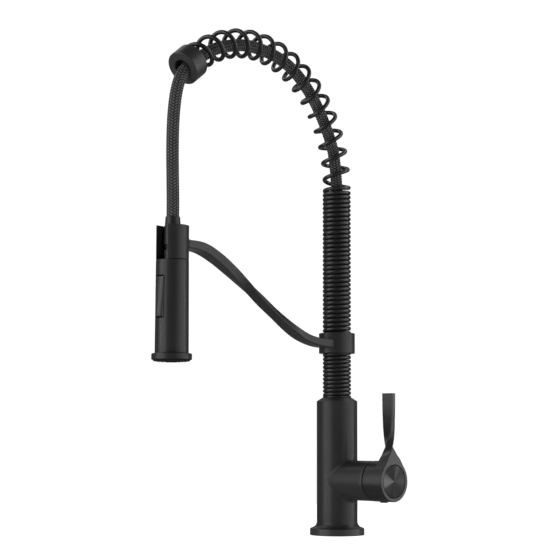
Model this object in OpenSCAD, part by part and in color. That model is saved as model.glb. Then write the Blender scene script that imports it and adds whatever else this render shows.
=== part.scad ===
// Pull-down kitchen faucet with a spring spout, a docking arm and a side lever.
// Millimetres. Origin: where the riser axis meets the worktop, +Z up.
// The spout reaches towards -Y, the lever sits on the +X side.

/* [Base] */
// Outer diameter of the foot that covers the worktop hole
foot_d = 55; // [52:0.5:60]
// Height of the foot's upright edge
foot_h = 6.6; // [5.6:0.1:7]
// Diameter of the body tube
body_d = 41.2; // [41:0.1:42]
// Thickness of the worktop that the shank clamps
deck_t = 30; // [20:1:40]

/* [Lever] */
// Diameter of the lever's hub
hub_d = 40; // [39.6:0.1:41]
// Height of the lever's tip above the worktop
lever_top = 141.3; // [130:0.5:150]
// Width of the lever blade at its tip
lever_w = 13.1; // [11:0.1:14]
// Thickness of the lever blade at its tip
lever_t = 5.2; // [4.6:0.1:6]

/* [Spout] */
// Outer diameter of the braided hose
hose_d = 12; // [11:0.1:12.4]
// Wire diameter of the long spring
wire_d = 4.3; // [3.6:0.1:4.4]
// Mean diameter of the long spring
coil_d = 24.7; // [24.7:0.1:25]
// Pitch of the close-wound stretch on the riser
close_pitch = 4.5; // [4.45:0.05:4.8]
// Pitch of the open stretch over the arch
open_pitch = 18; // [16:0.1:20]
// Outer diameter of the collar at the end of the spring
end_collar_d = 33.4; // [33:0.1:36]
// Outer diameter of the clamp collar on the riser
arm_collar_d = 36.6; // [35:0.1:38]

/* [Spray head] */
// Distance from the riser axis to the spray head axis
reach = 223; // [223:0.5:223.5]
// Diameter of the spray head at its top
head_top_d = 30.3; // [30:0.1:31]
// Diameter of the spray head above its rim
head_low_d = 31.2; // [30.6:0.1:32]
// Diameter of the rim round the spray face
head_rim_d = 37.2; // [36:0.1:38]
// Width of the rocker button
button_w = 10.7; // [10:0.1:10.8]

/* [Hidden] */
$fn = 64;

BLACK = [0.07, 0.07, 0.075];
SOOT = [0.03, 0.03, 0.03];
STEEL = [0.72, 0.73, 0.75];
BRASS = [0.78, 0.62, 0.28];
NYLON = [0.85, 0.85, 0.82];
GREY = [0.35, 0.35, 0.36];

body_r = body_d / 2;
foot_r = foot_d / 2;
body_top = 138;
shoulder = 134.3;
hub_z = 55;
boss_r = 19.8;
boss_x = 50.4;
hub_r = hub_d / 2;
hub_x0 = 51.2;
hub_x1 = 75.8;
shank_r = 16.4;
shank_low = -62;
wire_r = wire_d / 2;
coil_r = coil_d / 2;
hose_r = hose_d / 2;
tube_r = 9.9;
tube_top = 346;
collar_z0 = 182.8;
collar_z1 = 203.3;
coil_z0 = collar_z1 + 0.35;
arch_z = 352;
neck_r = 7.75;
hold_z0 = 259.9;
hold_z1 = 291.6;
hold_r = 15.1;
head_z1 = 259.6;
head_z0 = 174.3;
pivot_y = 12.6;
pivot_z = 225.6;
rock = 6;

// Axis of the arch as two cubic curves, each point [distance from riser, height]
ARCH_A = [[0, 352], [0, 430], [61.5, 480], [120.5, 480]];
ARCH_B = [[120.5, 480], [154, 480], [181.5, 465.5], [197.5, 452.5]];
// The axis then runs straight into the collar
arch_end = [202.3, 448.7];
// Collar at the end of the spring: centre of its mouth, and slope of its axis
mouth = [212.5, 440.5];
mouth_slope = 39;
end_collar_l = 16.6;

// Route of the hose: [distance from riser, height]
HOSE_UP = [[0, 160], [0, 200], [0, 250], [0, 300], [0, 340], [0.5, 360], [4, 385], [10, 402],
  [20, 420], [32, 437], [45, 450.5], [58, 461], [72, 469], [88, 474.5], [105, 477.5], [122, 478.5],
  [138, 477], [156, 472.5], [172, 466.5], [188, 457], [202, 446], [210.8, 438.6]];
HOSE_DOWN = [[210.8, 438.6], [215.6, 431], [219.8, 418], [222.3, 403], [223.5, 389], [224, 374],
  [224, 355], [223.5, 335], [223, 315], [223, 300]];

// Docking arm: [distance from riser, height, twist, half size across, half size upright]
ARM = [[12, 192.5, 90, 4.4, 9.8], [30, 192.9, 90, 4, 8], [50, 197.2, 87, 3.9, 6.5],
  [70, 206, 67, 4, 5.2], [90, 217.6, 54, 4.3, 4.4], [110, 230.2, 46, 4.9, 4.6],
  [130, 243.3, 26, 5.6, 4.9], [150, 256, 9, 6.5, 4.8], [170, 267, 4, 7.4, 4.7],
  [190, 274.3, 1.5, 8.3, 4.4], [212, 275.5, 0, 9.2, 3.8]];

// Lever blade: [height, twist, width, thickness, centre along X]
LEVER = [[66, 90, 27, 12.6, 69.3], [74.4, 76, 19, 12.8, 69.3], [80, 62, 15.6, 9.8, 69.2],
  [88.4, 45, 14, 7.2, 69.2], [94, 35, 14, 6.2, 69.1], [102, 22, 14, 5.3, 69],
  [114, 10, 13.8, 4.8, 69], [127, 2, 13.4, 5, 68.9], [lever_top, 0, lever_w, lever_t, 68.9]];
// Way of the hose where its two stretches meet
hose_cut = [7, -7.6];

function unit(v) = v / norm(v);

// Cubic curve through four control points
function cubic(P, t) = pow(1 - t, 3) * P[0] + 3 * pow(1 - t, 2) * t * P[1]
  + 3 * (1 - t) * t * t * P[2] + t * t * t * P[3];

// Smooth curve through every station of a list, t counts stations
function clampi(i, n) = max(0, min(n - 1, i));
function through(P, t) = let (n = len(P), i = min(floor(t), n - 2), f = t - i,
    a = P[clampi(i - 1, n)], b = P[i], c = P[i + 1], d = P[clampi(i + 2, n)])
  0.5 * ((2 * b) + (c - a) * f + (2 * a - 5 * b + 4 * c - d) * f * f + (3 * b - a - 3 * c + d) * f * f * f);

// Skin over rings of points. Each ring runs anticlockwise about the way the rings advance.
module skin(rings) {
  n = len(rings[0]);
  m = len(rings);
  pts = [for (r = rings) for (p = r) p];
  side = [for (i = [0 : m - 2]) for (j = [0 : n - 1])
    let (a = i * n + j, b = i * n + (j + 1) % n, c = b + n, d = a + n) each [[a, d, c], [a, c, b]]];
  polyhedron(points = pts, faces = concat([[for (j = [0 : n - 1]) j]],
    [[for (j = [0 : n - 1]) m * n - 1 - j]], side), convexity = 12);
}

// Round ring of a tube: centre c, way t, first cross axis u
function ring(c, t, u, r, n) = let (w = unit(u - (u * t) * t), v = cross(t, w))
  [for (j = [0 : n - 1]) c + r * (cos(360 * j / n) * w + sin(360 * j / n) * v)];

// Rounded rectangle with half sizes a and b and corner radius r, anticlockwise
function rrect(a, b, r) = [for (q = [[1, 1, 0], [-1, 1, 90], [-1, -1, 180], [1, -1, 270]])
  for (k = [0 : 3]) [q[0] * (a - r) + r * cos(q[2] + 30 * k), q[1] * (b - r) + r * sin(q[2] + 30 * k)]];

// Lengths along the arch
ARCH = [for (i = [0 : 60]) each i < 60 ? [cubic(ARCH_A, i / 60)] : [for (k = [0 : 41]) k > 40 ? arch_end : cubic(ARCH_B, k / 40)]];
ARCH_S = [for (i = 0, s = 0; i < len(ARCH); s = s + (i < len(ARCH) - 1 ? norm(ARCH[i + 1] - ARCH[i]) : 0), i = i + 1) s];
ARCH_D = [for (i = [0 : len(ARCH) - 1]) [ARCH_S[i], ARCH[i][0]]];
ARCH_Z = [for (i = [0 : len(ARCH) - 1]) [ARCH_S[i], ARCH[i][1]]];
arch_len = ARCH_S[len(ARCH_S) - 1];
function arch_at(s) = [lookup(s, ARCH_D), lookup(s, ARCH_Z)];
function arch_way(s) = unit(arch_at(min(s + 2, arch_len)) - arch_at(max(s - 2, 0)));

// The wire of the open stretch at length s along the arch
phase = 17;
function wire_dir(s) = let (w = arch_way(s), a = 360 * s / open_pitch + phase)
  [cos(a), sin(a) * w[1], sin(a) * w[0]];
function wire_at(s) = let (c = arch_at(s)) [0, -c[0], c[1]] + coil_r * wire_dir(s);

// Straight helical spring of radius R from z0 to z1, ending at angle a1
module helix(R, r, z0, z1, pitch, a1, steps, sides) {
  n = round((z1 - z0) / pitch * steps);
  climb = pitch / (2 * PI * R);
  skin([for (i = [0 : n]) let (z = z0 + (z1 - z0) * i / n, a = a1 - 360 * (z1 - z) / pitch,
      u = [cos(a), sin(a), 0], t = unit([-sin(a), cos(a), climb]))
    ring([R * cos(a), R * sin(a), z], t, u, r, sides)]);
}

module revolve(points) { rotate_extrude($fn = 96) polygon(points); }
module washer(r1, r0, z0, z1) {
  translate([0, 0, z0]) difference() {
    cylinder(r = r1, h = z1 - z0);
    translate([0, 0, -1]) cylinder(r = r0, h = z1 - z0 + 2);
  }
}
module oring(R, r, z) { translate([0, 0, z]) rotate_extrude($fn = 64) translate([R, 0]) circle(r = r, $fn = 24); }
// Puts a part that is drawn along +Z onto the cartridge axis, along +X
module on_hub() { translate([0, 0, hub_z]) rotate([0, 90, 0]) children(); }
module at_head() { translate([0, -reach, 0]) children(); }
module at_mouth() { translate([0, -mouth[0], mouth[1]]) rotate([90 + mouth_slope, 0, 0]) children(); }

// ---- base ----
module valve_body() {
  color(BLACK) difference() {
    union() {
      revolve(concat([[0, 0], [foot_r, 0], [foot_r, foot_h - 0.7], [foot_r - 0.7, foot_h]],
        [for (a = [244 : -8 : 180]) [body_r + 5.8 + 5.8 * cos(a), 13.3 + 5.8 * sin(a)]],
        [[body_r, shoulder], [body_r - 5.4, body_top - 0.25], [body_r - 5.9, body_top], [0, body_top]]));
      on_hub() cylinder(r = boss_r, h = boss_x);
    }
    translate([0, 0, -1]) cylinder(r = shank_r + 0.1, h = 15);
    washer(24.4, 17.5, -1, 1.5);
    for (s = [-1, 1]) {
      translate([0, 7.5 * s, 13]) cylinder(r = 4.5, h = 17);
      translate([0, 7.5 * s, 29]) cylinder(r = 3.4, h = 25);
      translate([0, 7.5 * s, 51]) rotate([0, 90, 0]) cylinder(r = 3, h = 17);
    }
    translate([0, 0, 62.5]) rotate([0, 90, 0]) cylinder(r = 4, h = 17);
    translate([0, 0, 62.5]) cylinder(r = 5, h = 43);
    translate([0, 0, 104]) cylinder(r = 11, h = 40);
    translate([0, 0, 129.8]) cylinder(r = 11.9, h = 1.9);
    on_hub() translate([0, 0, 16]) cylinder(r = 17.55, h = 40);
  }
}
module foot_gasket() { color(SOOT) washer(24.35, 17.55, 0, 1.5); }
module mounting_shank() { color(BRASS) washer(shank_r, 14.5, shank_low, 14); }
module rubber_washer() { color(SOOT) washer(24.2, 16.6, -deck_t - 2, -deck_t); }
module steel_washer() { color(STEEL) washer(24.2, 16.6, -deck_t - 3.5, -deck_t - 2); }
module mounting_nut() {
  color(BRASS) translate([0, 0, -deck_t - 3.5]) difference() {
    union() {
      translate([0, 0, -10]) cylinder(r = 24.2, h = 10, $fn = 6);
      translate([0, 0, -2]) cylinder(r = 23.6, h = 2);
    }
    translate([0, 0, -11]) cylinder(r = shank_r + 0.05, h = 12);
    for (a = [0 : 120 : 240]) rotate([0, 0, a]) translate([20.4, 0, -11]) cylinder(r = 2.1, h = 12);
  }
}
module nut_screws() {
  color(STEEL) translate([0, 0, -deck_t - 3.5]) for (a = [0 : 120 : 240]) rotate([0, 0, a]) translate([20.4, 0, 0]) difference() {
    union() {
      translate([0, 0, -16]) cylinder(r = 2, h = 16);
      translate([0, 0, -18.5]) cylinder(r = 3.4, h = 2.5);
    }
    translate([0, 0, -19]) cylinder(r = 1.6, h = 2, $fn = 6);
  }
}
// Port positions in the cartridge's own frame: x is down, y is across
PORTS = [[4, 7.5, 3], [4, -7.5, 3], [-7.5, 0, 4]];
module cartridge_housing() {
  color(NYLON) on_hub() difference() {
    translate([0, 0, 16.05]) cylinder(r = 17.5, h = 24.95);
    translate([0, 0, 20]) cylinder(r = 13, h = 30);
    for (p = PORTS) translate([p[0], p[1], 0]) {
      translate([0, 0, 10]) cylinder(r = p[2], h = 20);
      translate([0, 0, 16.05]) washer(p[2] + 2.2, p[2] + 0.6, -1, 1.6);
    }
  }
}
module cartridge_seals() {
  color(SOOT) on_hub() for (p = PORTS) translate([p[0], p[1], 0]) oring(p[2] + 1.4, 0.75, 16.85);
}
module fixed_disc() {
  color(NYLON) on_hub() difference() {
    translate([0, 0, 20]) cylinder(r = 12.9, h = 3);
    for (p = PORTS) translate([p[0], p[1], 19]) cylinder(r = p[2] - 0.2, h = 5);
  }
}
module cartridge_retainer() { color(NYLON) on_hub() washer(12.95, 5.06, 33.5, 41); }
module cartridge_nut() {
  color(BRASS) on_hub() difference() {
    washer(17.5, 9, 41, 47);
    for (a = [0 : 90 : 270]) rotate([0, 0, a]) translate([13.4, 0, 44.5]) cylinder(r = 1.4, h = 4);
  }
}

// ---- lever ----
function lever_ring(q) = let (e = [cos(q[1]), -sin(q[1])], f = [sin(q[1]), cos(q[1])])
  [for (p = rrect(q[2] / 2, q[3] / 2, 1.1)) [q[4] + p[0] * e[0] + p[1] * f[0], p[0] * e[1] + p[1] * f[1], q[0]]];
// Flat web between the hub and the blade, its sides just short of tangent to the hub
web_z = 34;
web_r = 1.2;
module lever_web() {
  a = 90 - asin((hub_r - 0.1 - web_r) / web_z);
  translate([62, 0, hub_z]) rotate([90, 0, 90]) linear_extrude(hub_x1 - 62) polygon([
    [web_r * sin(a), web_z + web_r * cos(a)], [0, web_z + web_r], [-web_r * sin(a), web_z + web_r * cos(a)],
    [-(hub_r - 0.1) * sin(a), (hub_r - 0.1) * cos(a)], [0, 0], [(hub_r - 0.1) * sin(a), (hub_r - 0.1) * cos(a)]]);
}
module lever_handle() {
  color(BLACK) difference() {
    union() {
      on_hub() translate([0, 0, hub_x0]) cylinder(r = hub_r, h = hub_x1 - hub_x0);
      lever_web();
      skin([for (i = [0 : 2 * (len(LEVER) - 1)]) lever_ring(through(LEVER, i / 2))]);
    }
    on_hub() translate([0, 0, hub_x0 - 1]) cylinder(r = 17.6, h = 7.8);
    on_hub() translate([0, 0, 57]) cylinder(r = 5.02, h = 9.05);
    on_hub() translate([0, 0, 74]) cylinder(r = 16.4, h = 3);
    translate([62.4, 0, hub_z - hub_r - 1]) cylinder(r = 4.05, h = 5);
    translate([62.4, 0, hub_z - hub_r - 1]) cylinder(r = 2.55, h = 17);
  }
}
module handle_cap() { color(GREY) on_hub() translate([0, 0, 74]) union() { cylinder(r = 16, h = 1.1); cylinder(r = 15.7, h = 1.4); } }
module handle_set_screw() {
  color(STEEL) translate([62.4, 0, 41]) difference() {
    cylinder(r = 2.5, h = 9);
    translate([0, 0, -1]) cylinder(r = 1.3, h = 4, $fn = 6);
  }
}
module set_screw_plug() {
  color(BLACK) translate([62.4, 0, hub_z - hub_r]) union() {
    translate([0, 0, -0.9]) cylinder(r = 3.9, h = 4.8);
  }
}
module cartridge_stem() {
  color(BRASS) on_hub() difference() {
    union() {
      translate([0, 0, 26]) cylinder(r = 12.6, h = 4);
      translate([0, 0, 29]) cylinder(r = 5, h = 37);
    }
    translate([5, -10, 59]) cube([10, 20, 10]);
  }
}
module moving_disc() {
  color(NYLON) on_hub() difference() {
    translate([0, 0, 23.05]) cylinder(r = 12.6, h = 2.95);
    translate([-3, -6, 22]) cube([9, 12, 2.6]);
  }
}

// ---- riser, springs and arm ----
module riser_base() {
  color(BRASS) difference() {
    revolve([[5, 106], [10.5, 106], [10.95, 106.5], [10.95, 111], [9.1, 111], [9.1, 113.2], [10.95, 113.2],
      [10.95, 121], [9.1, 121], [9.1, 123.2], [10.95, 123.2], [10.95, 129.9], [9.8, 129.9], [9.8, 131.6],
      [10.95, 131.6], [10.95, 138.5], [14.3, 138.5], [14.3, 139.2], [8.5, 139.2], [8.5, 152], [7.05, 152],
      [7.05, 140], [5, 140]]);
  }
}
module riser_orings() { color(SOOT) { oring(10.03, 0.9, 112.1); oring(10.03, 0.9, 122.1); } }
module retaining_ring() {
  color(STEEL) difference() {
    washer(11.6, 9.85, 130, 131.5);
    translate([-2, 5, 129]) cube([4, 10, 4]);
  }
}
module swivel_washer() { color(NYLON) washer(14.3, 11.05, 138.05, 138.45); }
module riser_tube() { color(STEEL) washer(tube_r, 8.6, 139.2, tube_top); }
module lower_spring() { color(BLACK) helix(12.5, 1.95, 141.3, 180.7, 4.04, 200, 14, 6); }
module arm_collar() {
  color(BLACK) difference() {
    revolve([[tube_r + 0.05, collar_z0], [arm_collar_d / 2 - 0.5, collar_z0], [arm_collar_d / 2, collar_z0 + 0.5],
      [arm_collar_d / 2, collar_z1 - 0.5], [arm_collar_d / 2 - 0.5, collar_z1], [tube_r + 0.05, collar_z1]]);
    translate([0, 9, (collar_z0 + collar_z1) / 2]) rotate([-90, 0, 0]) cylinder(r = 2.55, h = 12);
  }
}
module collar_set_screw() {
  color(STEEL) translate([0, tube_r + 0.05, (collar_z0 + collar_z1) / 2]) rotate([-90, 0, 0]) difference() {
    cylinder(r = 2.5, h = 7);
    translate([0, 0, 4]) cylinder(r = 1.4, h = 4, $fn = 6);
  }
}
module riser_spring() {
  color(BLACK) helix(coil_r, wire_r, coil_z0 + wire_r, arch_z, close_pitch, phase, 14, 6);
}
module arch_spring() {
  n = round(arch_len / open_pitch * 20);
  color(BLACK) skin([for (i = [0 : n]) let (s = arch_len * i / n, lo = max(s - 0.2, 0), hi = min(s + 0.2, arch_len),
      t = i == 0 ? unit([-sin(phase), cos(phase), close_pitch / (2 * PI * coil_r)]) : unit(wire_at(hi) - wire_at(lo)))
    ring(wire_at(s), t, wire_dir(s), wire_r, 6)]);
}
module spring_end_collar() {
  color(BLACK) at_mouth() translate([0, 0, -end_collar_l]) difference() {
    revolve([[8.9, 6], [8.9, end_collar_l], [end_collar_d / 2 - 0.6, end_collar_l], [end_collar_d / 2, end_collar_l - 0.6],
      [end_collar_d / 2, 0.5], [end_collar_d / 2 - 0.5, 0], [14.9, 0], [14.9, 6]]);
  }
}
// Rubber bush between the end collar and the hose, which runs below the collar's axis
module hose_grommet() {
  color(SOOT) at_mouth() translate([0, 0, -10.4]) difference() {
    cylinder(r = 8.85, h = 2.4);
    translate([0, -2.4, -1]) cylinder(r = 6.25, h = 5);
  }
}
module hose_tail() {
  color(BRASS) revolve([[4.2, 140.1], [7, 140.1], [7, 152.05], [8.1, 152.05], [8.1, 156], [7.2, 156],
    [7.2, 160], [4.2, 160]]);
}
function hose_path(P, k) = [for (i = [0 : k * (len(P) - 1)]) through(P, i / k)];
module hose(P, k, first, last) {
  Q = hose_path(P, k);
  n = len(Q);
  skin([for (i = [0 : n - 1]) let (t2 = i == 0 ? first : i == n - 1 ? last : Q[i + 1] - Q[i - 1],
      t = unit([0, -t2[0], t2[1]])) ring([0, -Q[i][0], Q[i][1]], t, [1, 0, 0], hose_r, 12)]);
}
module hose_arch() { color(BLACK) hose(HOSE_UP, 1, [0, 1], hose_cut); }
function arm_ring(q, w) = let (X = [1, 0, 0], T = [0, -w[0], w[1]], N = cross(T, X),
    u = cos(q[2]) * X - sin(q[2]) * N, v = cos(q[2]) * N + sin(q[2]) * X)
  [for (p = rrect(q[3], q[4], 1)) [0, -q[0], q[1]] + p[0] * u + p[1] * v];
module dock_arm() {
  n = 2 * (len(ARM) - 1);
  Q = [for (i = [0 : n]) through(ARM, i / 2)];
  color(BLACK) difference() {
    skin([for (i = [0 : n]) let (a = Q[max(i - 1, 0)], b = Q[min(i + 1, n)], w = unit([b[0] - a[0], b[1] - a[1]]))
      arm_ring(Q[i], i == 0 || i == n ? [1, 0] : w)]);
    translate([0, 0, 170]) cylinder(r = arm_collar_d / 2 + 0.03, h = 40);
    translate([0, -reach, 260]) cylinder(r = hold_r + 0.03, h = 30);
  }
}
module dock_holder() {
  color(BLACK) at_head() difference() {
    revolve([[9.2, hold_z0], [hold_r - 0.3, hold_z0], [hold_r, hold_z0 + 0.3], [hold_r, hold_z1 - 0.5],
      [hold_r - 0.5, hold_z1], [9.2, hold_z1]]);
    translate([-7.5, -20, hold_z0 - 1]) cube([15, 20, 40]);
  }
}
module holder_liner() {
  color(SOOT) at_head() difference() {
    washer(9.15, 8.1, hold_z0 + 0.4, hold_z1 - 0.4);
    translate([-7.5, -20, hold_z0 - 1]) cube([15, 20, 40]);
  }
}

// ---- hose end, on the swivel ----
module hose_drop() { color(BLACK) hose(HOSE_DOWN, 2, hose_cut, [0, -1]); }
module hose_ferrule() {
  color(BLACK) at_head() revolve([[3.4, 252], [5.95, 252], [5.95, 254.9], [4.5, 254.9], [4.5, 256.9], [5.95, 256.9],
    [5.95, 273.6], [neck_r - 0.3, 273.6], [neck_r, 273.9], [neck_r, hold_z1 - 0.2], [7.3, hold_z1 + 0.1],
    [6.65, 299.7], [6.4, 300], [3.4, 300]]);
}
module swivel_ring() { color(SOOT) at_head() washer(6.9, 6, 269.1, 273.5); }
module swivel_oring() { color(SOOT) at_head() oring(5.28, 0.7, 255.9); }

// ---- spray head ----
module head_shell() {
  color(BLACK) at_head() difference() {
    revolve([[6, 250], [6, 269], [neck_r - 0.3, 269], [neck_r, 268.7], [neck_r, head_z1], [head_top_d / 2 - 0.6, head_z1],
      [head_top_d / 2, head_z1 - 0.6], [head_low_d / 2, head_z0], [13, head_z0], [13, 250]]);
    translate([-button_w / 2 - 0.3, -25, 206.1]) cube([button_w + 0.6, 15.4, 39.2]);
    translate([-9, -pivot_y, pivot_z]) rotate([0, 90, 0]) cylinder(r = 0.92, h = 18, $fn = 24);
  }
}
module head_rim() {
  color(BLACK) at_head() revolve([[14.5, 168.4], [head_rim_d / 2 - 0.8, 168.4], [head_rim_d / 2, 169.2],
    [head_rim_d / 2, 173.7], [head_rim_d / 2 - 0.5, 174.2], [14.5, 174.2]]);
}
module spray_face() {
  color(GREY) at_head() difference() {
    revolve([[5.3, 167.1], [16.6, 167.1], [17, 167.5], [17, 168.35], [14.45, 168.35], [14.45, 174.25], [12.95, 174.25],
      [12.95, 177], [5.3, 177]]);
    for (q = [[8, 12], [10.6, 16], [13.2, 20]]) for (i = [0 : q[1] - 1]) rotate([0, 0, 360 * i / q[1]])
      translate([q[0], 0, 166]) cylinder(r = 0.65, h = q[0] > 13 ? 6 : 12, $fn = 16);
  }
}
module spray_nozzles() {
  color(SOOT) at_head() for (q = [[8, 12], [10.6, 16], [13.2, 20]]) for (i = [0 : q[1] - 1]) rotate([0, 0, 360 * i / q[1]])
    translate([q[0], 0, 166.5]) cylinder(r = 0.6, h = 4.5, $fn = 16);
}
module aerator() {
  color(GREY) at_head() difference() {
    translate([0, 0, 166.1]) cylinder(r = 5.25, h = 11);
    translate([0, 0, 165]) cylinder(r = 4.2, h = 2.2);
    for (i = [0 : 5]) rotate([0, 0, 60 * i]) translate([2.6, 0, 166]) cylinder(r = 0.8, h = 12, $fn = 16);
    translate([0, 0, 166]) cylinder(r = 0.8, h = 12, $fn = 16);
  }
}
module waterway() {
  color(NYLON) at_head() difference() {
    translate([0, 0, 177.1]) cylinder(r = 9, h = 71);
    translate([0, 0, 222]) cylinder(r = 6.5, h = 30);
    translate([0, 0, 177]) cylinder(r = 3, h = 50);
    translate([0, 1, 214.5]) rotate([90, 0, 0]) cylinder(r = 2.55, h = 20);
  }
}
module check_valve() {
  color(GREY) at_head() difference() {
    translate([0, 0, 228]) cylinder(r = 6.4, h = 12);
    translate([0, 0, 227]) cylinder(r = 3.4, h = 14);
  }
}
module rocker_pin() {
  color(STEEL) at_head() translate([-7.4, -pivot_y, pivot_z]) rotate([0, 90, 0]) cylinder(r = 0.9, h = 14.8, $fn = 24);
}
module tilt_button() { translate([0, -pivot_y, pivot_z]) rotate([-rock, 0, 0]) translate([0, pivot_y, -pivot_z]) children(); }
module rocker_button() {
  color(BLACK) at_head() difference() {
    tilt_button() intersection() {
      translate([0, 0, 206.8]) cylinder(r = 17.2, h = 37.6);
      translate([-button_w / 2, -20, 206.8]) cube([button_w, 8.7, 37.6]);
    }
    translate([-9, -pivot_y, pivot_z]) rotate([0, 90, 0]) cylinder(r = 0.95, h = 18, $fn = 24);
  }
}
module diverter_plunger() {
  color(STEEL) at_head() translate([0, -2, 214.5]) rotate([90, 0, 0]) cylinder(r = 2.5, h = 7.6);
}

valve_body();
foot_gasket();
mounting_shank();
rubber_washer();
steel_washer();
mounting_nut();
nut_screws();
cartridge_housing();
cartridge_seals();
fixed_disc();
cartridge_retainer();
cartridge_nut();
lever_handle();
handle_cap();
handle_set_screw();
set_screw_plug();
cartridge_stem();
moving_disc();
riser_base();
riser_orings();
retaining_ring();
swivel_washer();
riser_tube();
lower_spring();
arm_collar();
collar_set_screw();
riser_spring();
arch_spring();
spring_end_collar();
hose_grommet();
hose_tail();
hose_arch();
dock_arm();
dock_holder();
holder_liner();
hose_drop();
hose_ferrule();
swivel_ring();
swivel_oring();
head_shell();
head_rim();
spray_face();
spray_nozzles();
aerator();
waterway();
check_valve();
rocker_pin();
rocker_button();
diverter_plunger();
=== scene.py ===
import math
import bpy
import numpy as np
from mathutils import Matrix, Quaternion, Vector


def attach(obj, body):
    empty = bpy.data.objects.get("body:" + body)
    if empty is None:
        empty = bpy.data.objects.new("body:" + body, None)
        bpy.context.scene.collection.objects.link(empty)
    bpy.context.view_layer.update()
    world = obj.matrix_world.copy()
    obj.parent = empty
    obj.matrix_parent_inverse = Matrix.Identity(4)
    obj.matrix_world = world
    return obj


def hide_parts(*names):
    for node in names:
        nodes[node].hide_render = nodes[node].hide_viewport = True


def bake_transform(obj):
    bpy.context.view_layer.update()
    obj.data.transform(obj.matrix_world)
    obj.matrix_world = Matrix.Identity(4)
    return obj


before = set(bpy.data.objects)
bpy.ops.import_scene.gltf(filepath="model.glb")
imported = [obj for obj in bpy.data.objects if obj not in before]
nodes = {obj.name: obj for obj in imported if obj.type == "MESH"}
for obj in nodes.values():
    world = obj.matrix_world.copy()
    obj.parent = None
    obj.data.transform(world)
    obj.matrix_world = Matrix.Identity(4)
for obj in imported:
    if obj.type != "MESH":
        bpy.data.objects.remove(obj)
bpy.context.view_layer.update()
scene = bpy.context.scene
MM = 0.001
X, Y, Z = np.eye(3)

# ------------------------------------------------------------------ camera
cam_data = bpy.data.cameras.new("camera")
camera = bpy.data.objects.new("camera", cam_data)
scene.collection.objects.link(camera)
cam_data.sensor_width = 36
cam_data.lens = 95.13
cam_data.shift_y = 0.04
camera.location = (1.0185, -1.1124, 0.1024)
az, pitch = 0.7799, 0.0878
ahead = Vector((-math.sin(az) * math.cos(pitch), math.cos(az) * math.cos(pitch), math.sin(pitch)))
camera.rotation_mode = "QUATERNION"
camera.rotation_quaternion = ahead.to_track_quat("-Z", "Y") @ Quaternion((0, 0, 1), 0.002)
scene.camera = camera
scene.view_settings.view_transform = "Standard"
scene.view_settings.look = "None"


# ------------------------------------------------------------------ mesh tools
def make(name, verts, quads, material, tris=None, flip=False, smooth=True):
    """Mesh object from an array of points in millimetres, with four- and three-sided faces."""
    verts = np.asarray(verts, float) * MM
    quads = np.asarray(quads, np.int32).reshape(-1, 4)
    tris = np.asarray([] if tris is None else tris, np.int32).reshape(-1, 3)
    if flip:
        quads, tris = quads[:, ::-1], tris[:, ::-1]
    me = bpy.data.meshes.new(name)
    me.vertices.add(len(verts))
    me.vertices.foreach_set("co", verts.astype(np.float32).ravel())
    me.loops.add(len(quads) * 4 + len(tris) * 3)
    me.loops.foreach_set("vertex_index", np.concatenate([quads.ravel(), tris.ravel()]).astype(np.int32))
    me.polygons.add(len(quads) + len(tris))
    me.polygons.foreach_set("loop_start", np.concatenate([np.arange(len(quads)) * 4,
                                                          len(quads) * 4 + np.arange(len(tris)) * 3]).astype(np.int32))
    me.polygons.foreach_set("use_smooth", np.full(len(quads) + len(tris), smooth))
    me.update(calc_edges=True)
    me.validate()
    o = bpy.data.objects.new(name, me)
    scene.collection.objects.link(o)
    if material is not None:
        me.materials.append(material)
    return o


def grid_faces(rows, cols, wrap_rows=False, wrap_cols=True, start=0):
    """Four-sided faces of a grid of points that is stored row by row."""
    r = np.arange(rows if wrap_rows else rows - 1)
    c = np.arange(cols if wrap_cols else cols - 1)
    r, c = (a.ravel() for a in np.meshgrid(r, c, indexing="ij"))
    r2, c2 = (r + 1) % rows, (c + 1) % cols
    return np.c_[r * cols + c, r * cols + c2, r2 * cols + c2, r2 * cols + c] + start


def corners(points, closed=True, support=0.25):
    """Rounds the corners of a profile. Each point is (radius, height, corner radius); flats keep support points beside every round."""
    n = len(points)
    P = [np.array(p[:2], float) for p in points]
    R = [p[2] if len(p) > 2 else 0.12 for p in points]
    out = []
    for i in range(n):
        if not closed and i in (0, n - 1):
            out.append(P[i])
            continue
        a, b, c = P[i - 1], P[i], P[(i + 1) % n]
        la, lc = np.linalg.norm(a - b), np.linalg.norm(c - b)
        ua, uc = (a - b) / la, (c - b) / lc
        cosang = np.clip(ua @ uc, -1, 1)
        half = math.acos(cosang) / 2
        if R[i] <= 0 or half > math.radians(88.5):
            out.append(b)
            continue
        t = min(R[i] / math.tan(half), 0.46 * la, 0.46 * lc)
        r = t * math.tan(half)
        mid = (ua + uc) / np.linalg.norm(ua + uc)
        centre = b + mid * r / math.sin(half)
        p0, p1 = b + ua * t, b + uc * t
        a0 = math.atan2(*(p0 - centre)[::-1])
        a1 = math.atan2(*(p1 - centre)[::-1])
        d = (a1 - a0 + math.pi) % (2 * math.pi) - math.pi
        k = max(3, min(12, int(abs(d) / math.radians(15)) + (2 if r > 0.3 else 0)))
        if t < 0.3 * la:
            out.append(b + ua * min(t + support, 0.48 * la))
        out += [centre + r * np.array([math.cos(a0 + d * j / k), math.sin(a0 + d * j / k)]) for j in range(k + 1)]
        if t < 0.3 * lc:
            out.append(b + uc * min(t + support, 0.48 * lc))
    return np.array(out)


def split(profile, longest):
    """Adds points on the long edges of an open profile."""
    out = [profile[0]]
    for a, b in zip(profile[:-1], profile[1:]):
        k = max(1, int(math.ceil(np.linalg.norm(b - a) / longest)))
        out += [a + (b - a) * j / k for j in range(1, k + 1)]
    return np.array(out)


def upright(P):
    return P


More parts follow.
